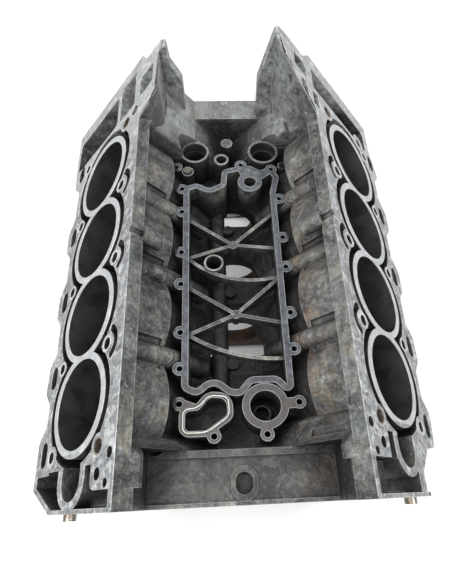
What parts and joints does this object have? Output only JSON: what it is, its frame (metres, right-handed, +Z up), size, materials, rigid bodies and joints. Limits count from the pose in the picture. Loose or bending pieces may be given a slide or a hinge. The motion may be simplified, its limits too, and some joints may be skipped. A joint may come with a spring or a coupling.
{
  "type": "engine block",
  "caption": "Open-deck V cylinder block cast in aluminium, with staggered banks, a ribbed valley opening between coolant ports, a deep skirt and cross-bolted main bearing caps.",
  "frame": {"origin": "on the crankshaft axis, level with the first bore of the bank on the -X side", "axes": "+Y along the crankshaft from the timing end to the flywheel end, +Z up out of the valley, +X towards the rear-staggered bank"},
  "size_m": [0.4494, 0.552, 0.3274],
  "materials": {
    "cast_aluminium": "sand cast with machined faces, corroded and stained",
    "cap_iron": "cast, machined sides",
    "bolt_steel": "black oxide",
    "dowel_steel": "ground, rust spotted",
    "plug_steel": "zinc plated"
  },
  "bodies": {
    "root": {"block": "cast_aluminium", "main_cap_1": "cap_iron", "main_cap_2": "cap_iron", "main_cap_3": "cap_iron", "main_cap_4": "cap_iron", "main_cap_5": "cap_iron", "cap_bolts": "bolt_steel", "cross_bolts": "bolt_steel", "timing_dowels": "dowel_steel", "gearbox_dowels": "dowel_steel", "head_dowels": "dowel_steel", "drain_plugs": "plug_steel", "valley_screw": "plug_steel", "gallery_plug": "plug_steel"}
  },
  "joints": []
}
